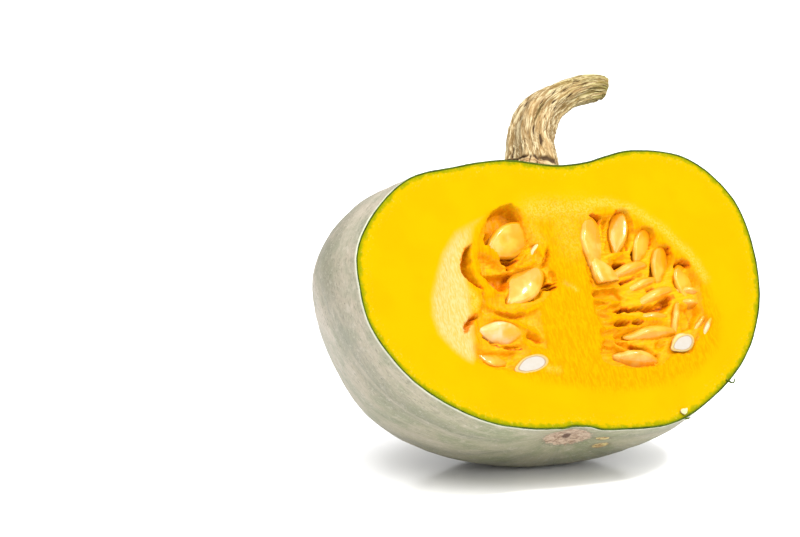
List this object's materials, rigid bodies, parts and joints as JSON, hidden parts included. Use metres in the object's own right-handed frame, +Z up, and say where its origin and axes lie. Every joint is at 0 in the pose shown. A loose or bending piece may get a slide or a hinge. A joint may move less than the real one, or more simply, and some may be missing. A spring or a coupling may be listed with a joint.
{
  "type": "pumpkin",
  "caption": "Grey-skinned pumpkin cut in half through its stem axis, with yellow flesh, fibrous seed pulp and a bent corky stem, lying on its rounded back.",
  "frame": {"origin": "on the floor under the middle of the half's bounding box", "axes": "+Z up from the floor; the cut face looks towards -Y and is leaned back, so it faces up a little; +X to the right of someone looking at the cut face"},
  "size_m": [0.2138, 0.1486, 0.1759],
  "materials": {
    "rind": "dull waxy grey-green skin with a soft sheen",
    "flesh": "moist, smooth where the knife passed",
    "seed_pulp": "wet and stringy, with satin cream seeds",
    "stem": "dry and corky"
  },
  "bodies": {
    "root": {"rind": "rind", "flesh": "flesh", "seed_pulp": "seed_pulp", "stem": "stem"}
  },
  "joints": []
}
